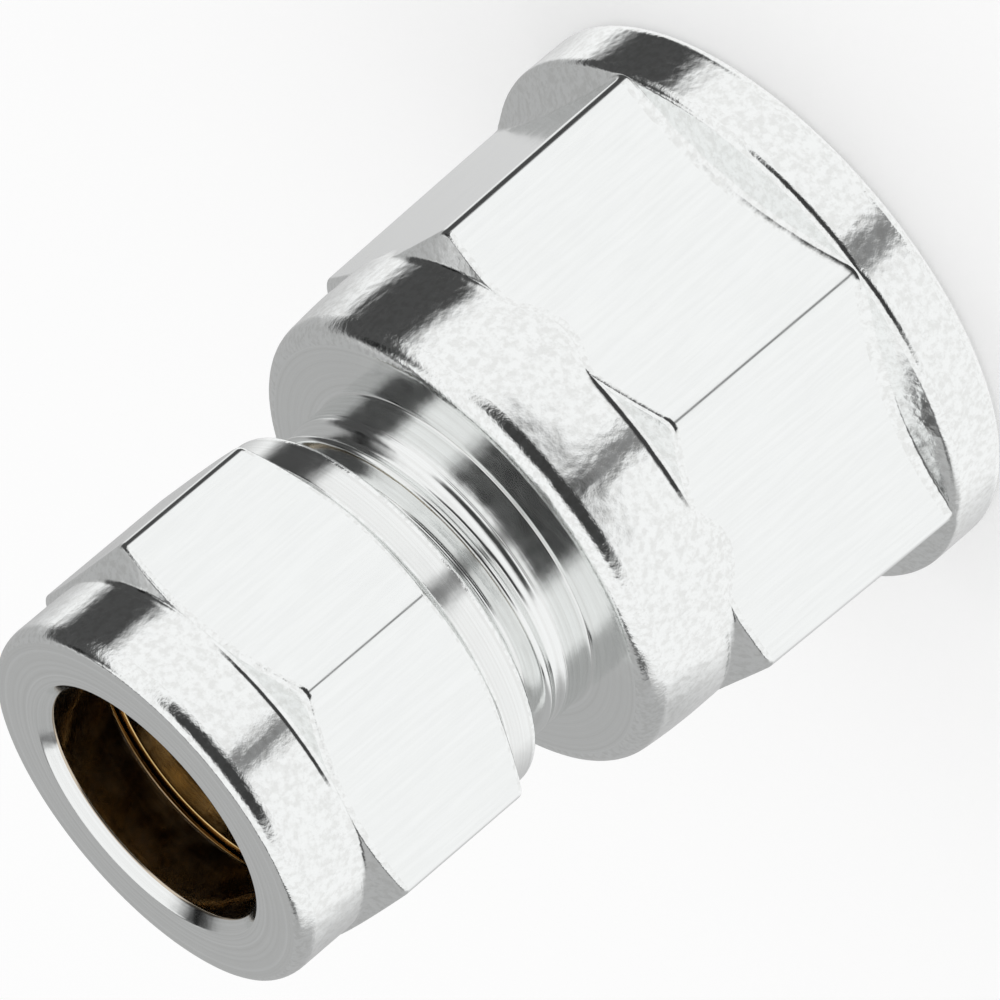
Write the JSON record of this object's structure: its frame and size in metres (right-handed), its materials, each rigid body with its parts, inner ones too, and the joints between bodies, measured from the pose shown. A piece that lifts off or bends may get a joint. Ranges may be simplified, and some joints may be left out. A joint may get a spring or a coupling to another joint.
{
  "type": "straight female compression adaptor",
  "caption": "Straight pipe fitting with a hexagonal body, a female threaded end on a round rim, and a compression end closed by a hexagonal nut over a loose sealing ring.",
  "frame": {"origin": "centre of the end face of the female rim, on which the fitting stands", "axes": "+Z along the axis of the fitting, from the female end to the mouth of the compression nut; +X through a corner of the body hexagon"},
  "size_m": [0.035, 0.035, 0.0484],
  "materials": {
    "plated_body": "bright plating over a forged and turned body",
    "plated_nut": "bright plating over a turned hexagonal nut",
    "brass_ring": "bare brass, satin"
  },
  "bodies": {
    "fitting_body": {"body": "plated_body"},
    "sealing_ring": {"olive": "brass_ring"},
    "nut": {"compression_nut": "plated_nut"}
  },
  "joints": [
    {"name": "nut_travel", "type": "slide", "parent": "fitting_body", "child": "sealing_ring", "axis": [0, 0, 1], "range_m": [0, 0.00726]},
    {"name": "nut_turn", "type": "hinge", "parent": "sealing_ring", "child": "nut", "pos_m": [0, 0, 0.035], "axis": [0, 0, 1], "range_deg": [0, 1440]}
  ],
  "couplings": [
    {"joint": "nut_travel", "follows": "nut_turn", "m_per_rad": 0.00028871}
  ]
}
